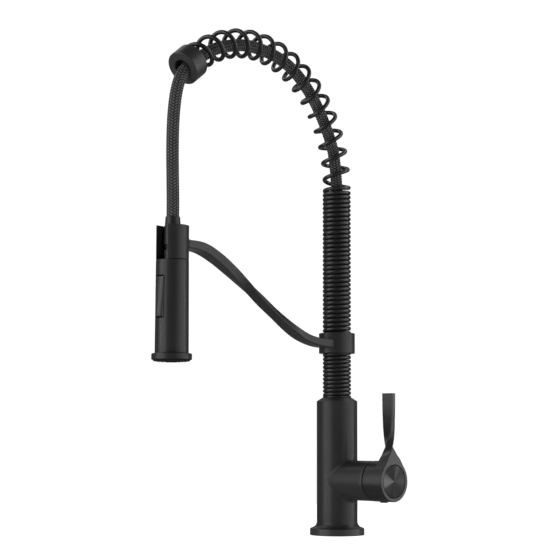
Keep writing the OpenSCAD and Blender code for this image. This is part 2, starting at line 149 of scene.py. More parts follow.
def on_hub(P):
    """Points drawn along +Z, put on the lever's axis."""
    return np.c_[P[:, 2], P[:, 1], 55 - P[:, 0]]


def at_head(P):
    return P + (0, -223, 0)


def at_mouth(P):
    a = math.radians(90 + 39)
    c, s = math.cos(a), math.sin(a)
    return np.c_[P[:, 0], P[:, 1] * c - P[:, 2] * s - 212.5, P[:, 1] * s + P[:, 2] * c + 440.5]


def lathe(name, profile, material, place=upright, n=128, closed=True, flip=None):
    """Turned piece. A closed profile makes a ring; an open one starts and ends on the axis."""
    profile = np.asarray(profile, float)
    a = 2 * math.pi * np.arange(n) / n
    area = 0.5 * np.sum(profile[:, 0] * np.roll(profile[:, 1], -1) - np.roll(profile[:, 0], -1) * profile[:, 1])
    if closed:
        V = np.stack([profile[:, 0, None] * np.cos(a), profile[:, 0, None] * np.sin(a),
                      np.repeat(profile[:, 1, None], n, 1)], -1).reshape(-1, 3)
        return make(name, place(V), grid_faces(len(profile), n, wrap_rows=True), material, flip=area < 0)
    inner = profile[1:-1]
    V = np.stack([inner[:, 0, None] * np.cos(a), inner[:, 0, None] * np.sin(a),
                  np.repeat(inner[:, 1, None], n, 1)], -1).reshape(-1, 3)
    m = len(inner) * n
    V = np.vstack([V, [0, 0, profile[0, 1]], [0, 0, profile[-1, 1]]])
    i = np.arange(n)
    j = (i + 1) % n
    T = np.vstack([np.c_[np.full(n, m), j, i], np.c_[np.full(n, m + 1), (len(inner) - 1) * n + i, (len(inner) - 1) * n + j]])
    return make(name, place(V), grid_faces(len(inner), n), material, tris=T, flip=area < 0)


def unit(v):
    v = np.asarray(v, float)
    return v / np.linalg.norm(v, axis=-1, keepdims=True)


def tube(name, C, U, r, sides, material, ends=True):
    """Round wire along the points C. U is a direction across the wire at each point."""
    C, U = np.asarray(C, float), np.asarray(U, float)
    T = unit(np.gradient(C, axis=0))
    U = unit(U - T * np.sum(U * T, 1, keepdims=True))
    W = np.cross(T, U)
    a = 2 * math.pi * np.arange(sides) / sides
    r = np.broadcast_to(r, (len(C),))[:, None, None]
    V = C[:, None] + r * (np.cos(a)[None, :, None] * U[:, None] + np.sin(a)[None, :, None] * W[:, None])
    V = V.reshape(-1, 3)
    m = len(V)
    quads = grid_faces(len(C), sides)
    tris = []
    if ends:
        V = np.vstack([V, C[0], C[-1]])
        i = np.arange(sides)
        j = (i + 1) % sides
        tris = np.vstack([np.c_[np.full(sides, m), j, i],
                          np.c_[np.full(sides, m + 1), (len(C) - 1) * sides + i, (len(C) - 1) * sides + j]])
    return make(name, V, quads, material, tris=tris)


def surface(name, f, lo, hi, h, material, snap=4):
    """Mesh of the solid where f(points) < 0, by surface nets on a grid of step h, with its points moved onto f = 0."""
    lo, hi = np.array(lo, float), np.array(hi, float)
    n = np.ceil((hi - lo) / h).astype(int) + 1
    ax = [lo[i] + h * np.arange(n[i]) for i in range(3)]
    G = np.empty(n, np.float32)
    for i in range(n[0]):
        yy, zz = np.meshgrid(ax[1], ax[2], indexing="ij")
        G[i] = f(np.c_[np.full(yy.size, ax[0][i]), yy.ravel(), zz.ravel()]).reshape(n[1], n[2])
    S = G < 0
    cell = np.zeros(n - 1, np.int8)
    for dx in (0, 1):
        for dy in (0, 1):
            for dz in (0, 1):
                cell += S[dx:n[0] - 1 + dx, dy:n[1] - 1 + dy, dz:n[2] - 1 + dz]
    act = (cell > 0) & (cell < 8)
    idx = np.full(n - 1, -1, np.int64)
    ijk = np.argwhere(act)
    idx[act] = np.arange(len(ijk))
    acc = np.zeros((len(ijk), 3))
    cnt = np.zeros(len(ijk))
    offs = np.array([(0, 0, 0), (1, 0, 0), (0, 1, 0), (1, 1, 0), (0, 0, 1), (1, 0, 1), (0, 1, 1), (1, 1, 1)])
    val = np.stack([G[tuple((ijk + o).T)] for o in offs], 1).astype(float)
    for a in range(8):
        for b in range(a + 1, 8):
            if np.abs(offs[a] - offs[b]).sum() == 1:
                m = (val[:, a] < 0) != (val[:, b] < 0)
                t = val[m, a] / (val[m, a] - val[m, b])
                acc[m] += offs[a] + t[:, None] * (offs[b] - offs[a])
                cnt[m] += 1
    V = lo + h * (ijk + acc / cnt[:, None])
    for _ in range(snap):
        e = 0.02
        f0 = f(V)
        g = np.stack([f(V + e * d) - f(V - e * d) for d in np.eye(3)], 1) / (2 * e)
        g2 = np.maximum(np.sum(g * g, 1), 0.05)
        step = -(f0 / g2)[:, None] * g
        size = np.linalg.norm(step, axis=1, keepdims=True)
        V += step * np.minimum(1, 0.4 * h / np.maximum(size, 1e-9))
    Q = []
    for d in range(3):
        u, v = (d + 1) % 3, (d + 2) % 3
        sl = [slice(None)] * 3
        a = S[tuple(slice(0, n[i] - 1) if i == d else slice(1, n[i] - 1) for i in range(3))]
        b = S[tuple(slice(1, n[i]) if i == d else slice(1, n[i] - 1) for i in range(3))]
        for flag, rev in ((a & ~b, False), (~a & b, True)):
            p = np.argwhere(flag)
            if not len(p):
                continue
            p[:, u] += 1
            p[:, v] += 1
            eu, ev = np.zeros(3, int), np.zeros(3, int)
            eu[u], ev[v] = 1, 1
            q = np.stack([idx[tuple((p - eu - ev).T)], idx[tuple((p - ev).T)], idx[tuple(p.T)], idx[tuple((p - eu).T)]], 1)
            Q.append(q[:, ::-1] if rev else q)
    return make(name, V, np.vstack(Q), material)


def smin(a, b, k):
    """Union of two distances with a fillet of about k."""
    h = np.maximum(k - np.abs(a - b), 0) / k
    return np.minimum(a, b) - h * h * k * 0.25


def smax(a, b, k):
    return -smin(-a, -b, k)


def bezier(P, t):
    P = np.asarray(P, float)
    t = np.asarray(t, float)[:, None]
    return (1 - t) ** 3 * P[0] + 3 * (1 - t) ** 2 * t * P[1] + 3 * (1 - t) * t * t * P[2] + t ** 3 * P[3]


def through(P, t):
    """Smooth curve through the stations P; t counts stations."""
    P = np.asarray(P, float)
    n = len(P)
    t = np.asarray(t, float)
    i = np.minimum(np.floor(t).astype(int), n - 2)
    f = (t - i)[:, None]
    a, b, c, d = (P[np.clip(i + k, 0, n - 1)] for k in (-1, 0, 1, 2))
    return 0.5 * (2 * b + (c - a) * f + (2 * a - 5 * b + 4 * c - d) * f ** 2 + (3 * b - a - 3 * c + d) * f ** 3)


# ------------------------------------------------------------------ materials
def material(name, base, rough, metal=0.0, spec=0.5, vary=0.15, grain=900.0, bump=0.05, coat=0.0, coat_rough=0.3,
             rough_vary=0.04, aniso=0.0, sheen=0.0, depth=0.0002):
    """Principled material whose colour, roughness and relief come from procedural noise in object space."""
    m = bpy.data.materials.new(name)
    m.use_nodes = True
    nt = m.node_tree
    b = nt.nodes["Principled BSDF"]
    b.inputs["Metallic"].default_value = metal
    b.inputs["Specular IOR Level"].default_value = spec
    b.inputs["Coat Weight"].default_value = coat
    b.inputs["Coat Roughness"].default_value = coat_rough
    b.inputs["Anisotropic"].default_value = aniso
    b.inputs["Sheen Weight"].default_value = sheen
    tc = nt.nodes.new("ShaderNodeTexCoord")
    fine = nt.nodes.new("ShaderNodeTexNoise")
    fine.inputs["Scale"].default_value = grain
    fine.inputs["Detail"].default_value = 3
    nt.links.new(tc.outputs["Object"], fine.inputs["Vector"])
    broad = nt.nodes.new("ShaderNodeTexNoise")
    broad.inputs["Scale"].default_value = 45
    broad.inputs["Detail"].default_value = 4
    nt.links.new(tc.outputs["Object"], broad.inputs["Vector"])
    mixed = nt.nodes.new("ShaderNodeMath")
    mixed.operation = "ADD"
    nt.links.new(fine.outputs["Fac"], mixed.inputs[0])
    nt.links.new(broad.outputs["Fac"], mixed.inputs[1])
    ramp = nt.nodes.new("ShaderNodeMapRange")
    ramp.inputs["From Min"].default_value = 0.6
    ramp.inputs["From Max"].default_value = 1.4
    nt.links.new(mixed.outputs[0], ramp.inputs["Value"])
    mix = nt.nodes.new("ShaderNodeMix")
    mix.data_type = "RGBA"
    base = tuple(base) if hasattr(base, "__len__") else (base, base, base)
    mix.inputs[6].default_value = (*[c * (1 - vary) for c in base], 1)
    mix.inputs[7].default_value = (*[min(1, c * (1 + vary)) for c in base], 1)
    nt.links.new(ramp.outputs[0], mix.inputs[0])
    nt.links.new(mix.outputs[2], b.inputs["Base Color"])
    rr = nt.nodes.new("ShaderNodeMapRange")
    rr.inputs["From Min"].default_value = 0.3
    rr.inputs["From Max"].default_value = 0.7
    rr.inputs["To Min"].default_value = rough - rough_vary
    rr.inputs["To Max"].default_value = rough + rough_vary
    nt.links.new(broad.outputs["Fac"], rr.inputs["Value"])
    nt.links.new(rr.outputs[0], b.inputs["Roughness"])
    bp = nt.nodes.new("ShaderNodeBump")
    bp.inputs["Strength"].default_value = bump
    bp.inputs["Distance"].default_value = depth
    nt.links.new(fine.outputs["Fac"], bp.inputs["Height"])
    nt.links.new(bp.outputs[0], b.inputs["Normal"])
    return m


def turned(m, centre, axis, pitch_mm, strength, depth=0.00005, tangent=None):
    """Adds fine turning rings round an axis to a material's relief."""
    nt = m.node_tree
    b = nt.nodes["Principled BSDF"]
    tc = nt.nodes.new("ShaderNodeTexCoord")
    sub = nt.nodes.new("ShaderNodeVectorMath")
    sub.operation = "SUBTRACT"
    sub.inputs[1].default_value = centre
    nt.links.new(tc.outputs["Object"], sub.inputs[0])
    flat = nt.nodes.new("ShaderNodeVectorMath")
    flat.operation = "MULTIPLY"
    flat.inputs[1].default_value = tuple(0.0 if a == axis else 1.0 for a in "XYZ")
    nt.links.new(sub.outputs[0], flat.inputs[0])
    ln = nt.nodes.new("ShaderNodeVectorMath")
    ln.operation = "LENGTH"
    nt.links.new(flat.outputs[0], ln.inputs[0])
    w = nt.nodes.new("ShaderNodeTexNoise")
    w.noise_dimensions = "1D"
    w.inputs["Scale"].default_value = 1000 / pitch_mm
    w.inputs["Detail"].default_value = 2
    nt.links.new(ln.outputs["Value"], w.inputs["W"])
    bp = nt.nodes.new("ShaderNodeBump")
    bp.inputs["Strength"].default_value = strength
    bp.inputs["Distance"].default_value = depth
    nt.links.new(w.outputs["Fac"], bp.inputs["Height"])
    old = b.inputs["Normal"].links[0].from_socket
    nt.links.new(old, bp.inputs["Normal"])
    nt.links.new(bp.outputs[0], b.inputs["Normal"])
    if tangent:
        tg = nt.nodes.new("ShaderNodeTangent")
        tg.direction_type = "RADIAL"
        tg.axis = tangent
        nt.links.new(tg.outputs[0], b.inputs["Tangent"])
    return m


COAT = 0.022
coat = material("black_coat", COAT, 0.38, spec=0.5, vary=0.10, grain=1400, bump=0.10, depth=0.00006)
coat_spring = material("black_spring", 0.014, 0.32, spec=0.8, vary=0.12, grain=1600, bump=0.08, depth=0.00006)
coat_head = material("black_head", COAT, 0.36, spec=0.5, vary=0.08, grain=1400, bump=0.08, depth=0.00006)
plastic = material("black_plastic", 0.020, 0.42, spec=0.5, vary=0.10, grain=2200, bump=0.10, depth=0.00005)
rocker_finish = material("rocker_black", 0.034, 0.40, spec=0.6, vary=0.10, grain=2200, bump=0.10, depth=0.00005)
# painted light: a lighter copy of the black coat for the foot's turned edge
coat_foot_painted_light = material("black_foot_painted_light", 0.034, 0.38, spec=0.55, vary=0.10, grain=1400, bump=0.10, depth=0.00006)
# painted light: a lighter copy of the black coat for the spring-end collar
collar_painted_light = material("black_collar_painted_light", 0.036, 0.40, spec=0.6, vary=0.10, grain=1400, bump=0.10, depth=0.00006)
# painted light: a lighter copy of the rocker's black for its side walls
rocker_side_painted_light = material("rocker_side_black", 0.062, 0.45, spec=0.6, vary=0.10, grain=2200, bump=0.10, depth=0.00005)
rubber = material("black_rubber", 0.018, 0.7, spec=0.4, vary=0.2, grain=2500, bump=0.25, depth=0.00008)
dark_hole = material("shadow_black", 0.006, 0.6, spec=0.2, vary=0.2, grain=1500, bump=0.1, depth=0.00005)
braid = material("braided_hose", 0.060, 0.36, spec=0.3, vary=0.25, grain=3200, bump=0.4, depth=0.00012, sheen=0.0)


def painted_weave_shade(m, low, high):
    """Painted shade darkens the valleys between the strands and a painted highlight lightens their crowns, by the
    height stored with each point of the mesh.
    """
    nt = m.node_tree
    b = nt.nodes["Principled BSDF"]
    at = nt.nodes.new("ShaderNodeAttribute")
    at.attribute_name = "weave"
    ramp = nt.nodes.new("ShaderNodeMapRange")
    ramp.inputs["From Min"].default_value = 0.25
    ramp.inputs["From Max"].default_value = 0.9
    ramp.inputs["To Min"].default_value = low
    ramp.inputs["To Max"].default_value = high
    nt.links.new(at.outputs["Fac"], ramp.inputs["Value"])
    mul = nt.nodes.new("ShaderNodeMix")
    mul.data_type = "RGBA"
    mul.blend_type = "MULTIPLY"
    mul.inputs[0].default_value = 1.0
    old = b.inputs["Base Color"].links[0].from_socket
    nt.links.new(old, mul.inputs[6])
    nt.links.new(ramp.outputs[0], mul.inputs[7])
    nt.links.new(mul.outputs[2], b.inputs["Base Color"])
    dull = nt.nodes.new("ShaderNodeMapRange")
    dull.inputs["From Min"].default_value = 0.25
    dull.inputs["From Max"].default_value = 0.9
    dull.inputs["To Min"].default_value = 0.9
    dull.inputs["To Max"].default_value = 0.36
    nt.links.new(at.outputs["Fac"], dull.inputs["Value"])
    nt.links.new(dull.outputs[0], b.inputs["Roughness"])
    return m


# painted shade in the braid's valleys and painted highlight on its crowns
braid = painted_weave_shade(braid, 0.0, 2.6)
coat_lever = material("black_lever", 0.012, 0.36, spec=0.75, vary=0.10, grain=1400, bump=0.10, depth=0.00006)
cap_metal = turned(material("brushed_cap", (0.045, 0.045, 0.046), 0.30, metal=1.0, vary=0.10, grain=2600, bump=0.05,
                            aniso=0.75, depth=0.00004), (0, 0, 0.055), "X", 0.35, 0.35, tangent="X")


def painted_highlight_wedges(m, centre_z, stops, gain):
    """Painted highlight: bright wedges of reflected light are painted into the disc's colour, which varies with the
    angle round its axis.
    """
    nt = m.node_tree
    b = nt.nodes["Principled BSDF"]
    tc = nt.nodes.new("ShaderNodeTexCoord")
    sep = nt.nodes.new("ShaderNodeSeparateXYZ")
    nt.links.new(tc.outputs["Object"], sep.inputs[0])
    up = nt.nodes.new("ShaderNodeMath")
    up.operation = "SUBTRACT"
    up.inputs[1].default_value = centre_z
    nt.links.new(sep.outputs["Z"], up.inputs[0])
    com = nt.nodes.new("ShaderNodeCombineXYZ")
    nt.links.new(sep.outputs["Y"], com.inputs["X"])
    nt.links.new(up.outputs[0], com.inputs["Y"])
    grad = nt.nodes.new("ShaderNodeTexGradient")
    grad.gradient_type = "RADIAL"
    nt.links.new(com.outputs[0], grad.inputs["Vector"])
    ramp = nt.nodes.new("ShaderNodeValToRGB")
    ramp.color_ramp.interpolation = "EASE"
    el = ramp.color_ramp.elements
    el[0].position, el[0].color = stops[0][0], (stops[0][1],) * 3 + (1,)
    el[1].position, el[1].color = stops[-1][0], (stops[-1][1],) * 3 + (1,)
    for pos, val in stops[1:-1]:
        e = el.new(pos)
        e.color = (val, val, val, 1)
    nt.links.new(grad.outputs["Fac"], ramp.inputs[0])
    mul = nt.nodes.new("ShaderNodeMix")
    mul.data_type = "RGBA"
    mul.blend_type = "MULTIPLY"
    mul.inputs[0].default_value = 1.0
    big = nt.nodes.new("ShaderNodeVectorMath")
    big.operation = "SCALE"
    big.inputs["Scale"].default_value = gain
    nt.links.new(ramp.outputs[0], big.inputs[0])
    old = b.inputs["Base Color"].links[0].from_socket
    nt.links.new(old, mul.inputs[6])
    nt.links.new(big.outputs[0], mul.inputs[7])
    nt.links.new(mul.outputs[2], b.inputs["Base Color"])
    return m


# the cap disc's bright wedges are painted highlights, set by the angle round its axis
cap_metal = painted_highlight_wedges(cap_metal, 0.055, [(0.0, 1.0), (0.045, 0.9), (0.085, 0.34), (0.2, 0.27), (0.24, 0.3), (0.256, 0.5),
                                      (0.272, 0.3), (0.40, 0.3), (0.5, 0.42), (0.62, 0.36), (0.66, 0.5), (0.69, 0.85),
                                      (0.725, 0.45), (0.77, 0.28), (0.895, 0.28), (0.93, 0.8), (1.0, 1.0)], 1.98)
grey_face = turned(material("grey_face", (0.016, 0.016, 0.017), 0.8, spec=0.0, vary=0.12, grain=1800, bump=0.12,
                            depth=0.00006), (0, -0.223, 0.17), "Z", 0.5, 0.15)
nozzle_rubber = material("nozzle_rubber", (0.016, 0.016, 0.017), 0.7, spec=0.05, vary=0.18, grain=3000, bump=0.2, depth=0.00005)
brass = turned(material("brass", (0.72, 0.50, 0.20), 0.30, metal=1.0, vary=0.10, grain=700, bump=0.12, depth=0.00006),
               (0, 0, 0), "Z", 0.6, 0.2)
steel = material("zinc_steel", (0.56, 0.57, 0.58), 0.38, metal=1.0, vary=0.12, grain=500, bump=0.15, depth=0.00008)
stainless = material("stainless", (0.62, 0.62, 0.61), 0.25, metal=1.0, vary=0.08, grain=1200, bump=0.10, depth=0.00005)
nylon = material("nylon", (0.74, 0.73, 0.68), 0.48, spec=0.45, vary=0.06, grain=800, bump=0.15, depth=0.00008)
ceramic = material("ceramic", (0.86, 0.84, 0.79), 0.16, spec=0.6, vary=0.04, grain=1500, bump=0.05, depth=0.00003)

# carried-over CAD solids take the same finishes
finish_of = {"black_coat": coat, "black_spring": coat_spring, "black_head": coat_head, "black_plastic": plastic,
             "black_rubber": rubber, "braided_hose": braid, "brushed_cap": cap_metal, "grey_face": grey_face,
             "brass": brass, "zinc_steel": steel, "stainless": stainless, "nylon": nylon, "ceramic": ceramic}
# the riser tube, the swivel washer and the holder liner take the shadow black: painted shade between the coils, at the
# washer's gap and inside the holder
special = {"spray_nozzles": nozzle_rubber, "riser_tube": dark_hole, "riser_base": coat_spring, "swivel_washer": dark_hole,
           "holder_liner": dark_hole}
for n, o in nodes.items():
    slot_name = o.data.materials[0].name.split(".")[0]
    o.data.materials.clear()
    o.data.materials.append(special.get(n, finish_of[slot_name]))


# ------------------------------------------------------------------ body
body_r, boss_r, hub_z, fil = 20.6, 19.8, 55.0, 3.0


def boss_fillet(phi):
    """Rolling-ball fillet between the upright body and the boss: centre, foot on the body, foot on the boss."""
    cy = (boss_r + fil) * np.sin(phi)
    cz = hub_z + (boss_r + fil) * np.cos(phi)
    cx = np.sqrt((body_r + fil) ** 2 - cy ** 2)
    C = np.c_[cx, cy, cz]
    B = np.c_[cx * body_r / (body_r + fil), cy * body_r / (body_r + fil), cz]
    S = np.c_[cx, boss_r * np.sin(phi), hub_z + boss_r * np.cos(phi)]
    return C, B, S


def build_body():
    n = 144
    q = n // 4
    z_lo, z_hi, M, K = 27.0, 83.0, 36, 12
    # angles start at -90 degrees, so that the first half of each ring faces the boss
    th = -math.pi / 2 + 2 * math.pi * np.arange(n) / n
    fillet = [(body_r + 5.8 + 5.8 * math.cos(math.radians(a)), 13.3 + 5.8 * math.sin(math.radians(a)))
              for a in np.linspace(244, 180, 17)]
    low = corners([(16.6, 0, 0), (17.6, 0, 0), (17.6, 1.5, 0.1), (24.3, 1.5, 0.1), (24.3, 0.0, 0.2), (27.47, 0, 0.35),
                   (27.47, 6.6, 0.55), (fillet[0][0], fillet[0][1], 0.0)], closed=False)
    low = np.vstack([low[1:-1], fillet, [[body_r, 13.9], [body_r, 18.0], [body_r, 22.5], [body_r, z_lo]]])
    high = corners([(body_r, z_hi, 0), (body_r, 134.3, 0.35), (15.2, 137.75, 0.2), (14.7, 138, 0.15), (11.6, 138, 0.3),
                    (11.6, 130, 0)], closed=False)
    high = split(high, 8.0)
    rings, V = [], []

    def add_ring(r, z):
        rings.append(len(V) * 0 + sum(len(v) for v in V))
        V.append(np.c_[r * np.cos(th), r * np.sin(th), np.full(n, z)])
        return rings[-1]

    Q = []

    def join(a, b, idx=None):
        i = np.arange(n) if idx is None else idx
        j = (i + 1) % n
        Q.append(np.c_[a + i, a + j, b + j, b + i])

    prev = None
    for r, z in low:
        cur = add_ring(r, z)
        if prev is not None:
            join(prev, cur)
        prev = cur
    band = [prev]
    back = np.arange(n // 2, n)
    for k in range(1, M):
        cur = add_ring(body_r, z_lo + (z_hi - z_lo) * k / M)
        join(prev, cur, back)
        band.append(cur)
        prev = cur
    cur = add_ring(*high[0])
    join(prev, cur, back)
    band.append(cur)
    prev = cur
    for r, z in high[1:]:
        cur = add_ring(r, z)
        join(prev, cur)
        prev = cur
    # outer edge of the patch, anticlockwise as seen from +X (angle to the right, height up)
    edge = [(i, 0) for i in range(n // 2)] + [(n // 2, k) for k in range(M)] \
        + [(n // 2 - i, M) for i in range(n // 2)] + [(0, M - k) for k in range(M)]
    e_id = np.array([band[k] + i for i, k in edge])
    e_ang = np.array([-math.pi / 2 + 2 * math.pi * i / n for i, k in edge])
    e_z = np.array([z_lo + (z_hi - z_lo) * k / M for i, k in edge])
    pol = np.arctan2(e_z - hub_z, e_ang * body_r)
    # outline of the fillet on the body, by the same polar angle
    phi = np.linspace(-math.pi, math.pi, 4001)
    _, B, _ = boss_fillet(phi)
    b_pol = np.arctan2(B[:, 2] - hub_z, np.arctan2(B[:, 1], B[:, 0]) * body_r)
    order = np.argsort(b_pol)
    # the angle is found through its sine and cosine, which stay clear of the seam
    sn = np.interp(pol, b_pol[order], np.sin(phi[order]))
    cs = np.interp(pol, b_pol[order], np.cos(phi[order]))
    ph = np.arctan2(sn, cs)
    C, B, S = boss_fillet(ph)
    m = len(e_id)
    base = sum(len(v) for v in V)
    b_ang = np.arctan2(B[:, 1], B[:, 0])
    ids = [e_id]
    for k in range(1, K + 1):
        t = k / K
        a = e_ang + (b_ang - e_ang) * t
        z = e_z + (B[:, 2] - e_z) * t
        V.append(np.c_[body_r * np.cos(a), body_r * np.sin(a), z])
        ids.append(base + np.arange(m))
        base += m
    F = 10
    db, ds = (B - C) / fil, (S - C) / fil
    ang = np.arccos(np.clip(np.sum(db * ds, 1), -1, 1))[:, None]
    for k in range(1, F + 1):
        t = k / F
        d = (np.sin((1 - t) * ang) * db + np.sin(t * ang) * ds) / np.sin(ang)
        V.append(C + fil * d)
        ids.append(base + np.arange(m))
        base += m
    x_s = S[:, 0]
    end = [(t, 1.0) for t in (0.08, 0.3, 0.6, 0.9)]
    for t, _ in end:
        x = x_s + (49.9 - x_s) * t
        V.append(np.c_[x, S[:, 1], S[:, 2]])
        ids.append(base + np.arange(m))
        base += m
    for x, r in ((49.95, 19.8), (50.25, 19.74), (50.37, 19.62), (50.4, 19.4), (50.4, 19.0), (50.4, 17.9), (50.3, 17.55), (49.8, 17.55), (40.0, 17.55)):
        V.append(np.c_[np.full(m, x), r * np.sin(ph), hub_z + r * np.cos(ph)])
        ids.append(base + np.arange(m))
        base += m
    for a, b in zip(ids[:-1], ids[1:]):
        Q.append(np.c_[a, np.roll(a, -1), np.roll(b, -1), b])
    V = np.vstack(V)
    return make("body_shell", V, np.vstack(Q), coat)


body = build_body()
# painted light: the turned edge of the foot has a slightly lighter copy of the black coat
body.data.materials.append(coat_foot_painted_light)
for p in body.data.polygons:
    c = p.center
    if math.hypot(c.x, c.y) > 0.0273 and 0.0003 < c.z < 0.0063:
        p.material_index = 1
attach(body, "base")
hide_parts("valve_body")


# ------------------------------------------------------------------ lever
LEVER = [[60, 90, 30, 13, 69.3], [66, 90, 32.4, 12.8, 69.4], [70, 90, 27.6, 12.4, 69.6], [74.4, 89, 21.8, 11.8, 69.9],
         [78, 86, 17.4, 10.8, 69.9], [81.1, 79, 13.9, 9.6, 69.6], [85, 63, 13.4, 8.5, 69.3], [88.9, 49.5, 13.8, 7.4, 69.05],
         [94.8, 37, 14, 6.65, 69.15], [101.5, 22.7, 13.7, 5.4, 69.15], [107, 14.5, 13.5, 5, 69.1], [114, 9, 13.3, 4.7, 69],
         [127, 2, 13.2, 4.8, 68.95], [141.3, 0, 13.1, 4.8, 68.9]]


def rounded(a, b, k):
    """Intersection of two distances with its edge rounded to radius k."""
    a, b = a + k, b + k
    return np.minimum(np.maximum(a, b), 0) + np.hypot(np.maximum(a, 0), np.maximum(b, 0)) - k


def lever_field():
    L = through(LEVER, np.linspace(0, len(LEVER) - 1, 500))
    zs = L[:, 0]

    def f(P):
        x, y, z = P.T
        up = z - 55
        ring = np.hypot(y, up) - 20.0
        hub = rounded(ring, 51.2 - x, 0.7)
        zc = np.clip(z, zs[0], zs[-1])
        tw = np.radians(np.interp(zc, zs, L[:, 1]))
        w = np.interp(zc, zs, L[:, 2]) / 2
        th = np.interp(zc, zs, L[:, 3]) / 2
        cx = np.interp(zc, zs, L[:, 4])
        u = (x - cx) * np.cos(tw) - y * np.sin(tw)
        v = (x - cx) * np.sin(tw) + y * np.cos(tw)
        blade = rounded(np.abs(u) - w, np.abs(v) - th, 0.32)
        blade = np.maximum(rounded(blade, z - 141.3, 0.5), 62 - z)
        # flat drop-shaped front, its tip a little to the left of the middle
        left = (-16.66 + 0.68 * (z - 66.06) - y) * 0.827
        right = (y - 16.66 + 0.809 * (z - 66.06)) * 0.777
        drop = np.maximum(np.maximum(rounded(left, right, 0.3), 66.06 - z), 71.5 - x)
        front = x - 75.8 - 1.2 * np.maximum(z - 88.4, 0)
        k = 0.5 + 2.6 * np.clip((67 - x) / 3, 0, 1) * np.clip((z - 71) / 3, 0, 1)
        out = rounded(smin(smin(hub, blade, k), drop, 0.5), front, 0.4)
        rr = np.hypot(y, up)
        hollow = np.maximum(rr - 17.6, x - 58)
        recess = np.maximum(rr - 16.35, 74.0 - x)
        plug = np.maximum(np.hypot(x - 62.4, y) - 4.05, z - 39)
        return smax(smax(smax(out, -hollow, 0.3), -recess, 0.25), -plug, 0.3)

    return f


lever = surface("lever", lever_field(), (50, -21.5, 34), (79, 21.5, 142.5), 0.4, coat_lever)
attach(lever, "handle")
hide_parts("lever_handle")

disc = lathe("cap_disc", np.vstack([[(0, 74.1)], corners([(0, 74.1, 0), (16.1, 74.1, 0.05), (16.1, 75.4, 0.12), (15.7, 75.58, 0.15), (0, 75.58, 0)], closed=False)[1:-1], [(0, 75.58)]]),
             cap_metal, on_hub, n=128, closed=False)
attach(disc, "handle")
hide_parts("handle_cap")


def under_hub(P):
    """Points drawn along +Z, turned to point down from the hub."""
    return np.c_[P[:, 0] + 62.4, -P[:, 1], 35 - P[:, 2]]


plug = lathe("set_screw_cover", np.vstack([[(0, -3.9)], corners([(0, -3.9, 0), (3.9, -3.9, 0.3), (3.9, 0.9, 0.5), (2.2, 0.9, 0.2), (1.9, 0.6, 0.2), (0, 0.6, 0)], closed=False)[1:-1], [(0, 0.6)]]),
             plastic, under_hub, n=48, closed=False)
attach(plug, "handle")
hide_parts("set_screw_plug")

# ------------------------------------------------------------------ springs
ARCH_A = [[0, 352], [0, 430], [61.5, 480], [120.5, 480]]
ARCH_B = [[120.5, 480], [154, 480], [181.5, 465.5], [197.5, 452.5]]
ARCH_END = np.array([202.3, 448.7])
arch = np.vstack([bezier(ARCH_A, np.linspace(0, 1, 601)), bezier(ARCH_B, np.linspace(0, 1, 401))[1:]])
arch = np.vstack([arch] + [arch[-1] + (ARCH_END - arch[-1]) * t for t in np.linspace(0, 1, 21)[1:]])
arch_s = np.r_[0, np.cumsum(np.hypot(*np.diff(arch, axis=0).T))]
coil_r, wire_r = 12.35, 2.15


def coil(name, R, r, angles, height_of, sides, mat, ground=(None, None)):
    """Wire wound round the riser, and on round the arch beyond height 352. An end can be ground flat at a height."""
    s = height_of(angles)
    d = np.interp(s - 352, arch_s, arch[:, 0], left=0)
    z = np.where(s < 352, s, np.interp(s - 352, arch_s, arch[:, 1]))
    ts = np.gradient(d, s), np.gradient(z, s)
    ln = np.hypot(*ts)
    wd, wz = ts[0] / ln, ts[1] / ln
    a = np.radians(angles)
    U = np.c_[np.cos(a), np.sin(a) * wz, np.sin(a) * wd]
    o = tube(name, np.c_[np.zeros_like(d), -d, z] + R * U, U, r, sides, mat)
    if ground[0] is not None:
        co = np.empty(3 * len(o.data.vertices), np.float32)
        o.data.vertices.foreach_get("co", co)
        co = co.reshape(-1, 3)
        co[:, 2] = np.maximum(co[:, 2], ground[0] * MM)
        if ground[1] is not None:
            co[:, 2] = np.minimum(co[:, 2], ground[1] * MM)
        o.data.vertices.foreach_set("co", co.ravel())
        o.data.update()
    return o


def long_height(a):
    """Height along the riser and arch at winding angle a: close pitch below, open pitch above, eased at the change."""
    turns = (a - 17) / 360
    ease = 0.055
    soft = ease * np.logaddexp(0, turns / ease)
    return 352 + 4.5 * turns + (18 - 4.5) * soft


total = arch_s[-1]
a_end = 17 + 360 * total / 18
a_start = 17 - 360 * (352 - 205.8) / 4.5 - 300
ang = np.concatenate([np.arange(a_start, 17 - 60, 6.0), np.arange(17 - 60, a_end - 8, 5.0)])
long_spring = coil("long_spring", coil_r, wire_r, ang, long_height, 16, coat_spring, ground=(203.35, None))
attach(long_spring, "spout")
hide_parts("riser_spring", "arch_spring")

low_ang = np.arange(200 - 360 * (180.7 - 141.3) / 4.04 - 300, 200 + 300, 5.0)
low_spring = coil("short_spring", 12.5, 1.95, low_ang, lambda a: 180.7 + (a - 200) / 360 * 4.04, 16, coat_spring,
                  ground=(139.25, 182.75))
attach(low_spring, "spout")
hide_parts("lower_spring")

# ------------------------------------------------------------------ hose
HOSE_UP = [[0, 160], [0, 200], [0, 250], [0, 300], [0, 340], [0.5, 360], [4, 385], [10, 402],
           [20, 420], [32, 437], [45, 450.5], [58, 461], [72, 469], [88, 474.5], [105, 477.5], [122, 478.5],
           [138, 477], [156, 472.5], [172, 466.5], [188, 457], [202, 446], [210.8, 438.6]]
HOSE_DOWN = [[210.8, 438.6], [215.6, 431], [219.8, 418], [222.3, 403], [223.5, 389], [224, 374],
             [224, 355], [223.5, 335], [223, 315], [223, 300]]


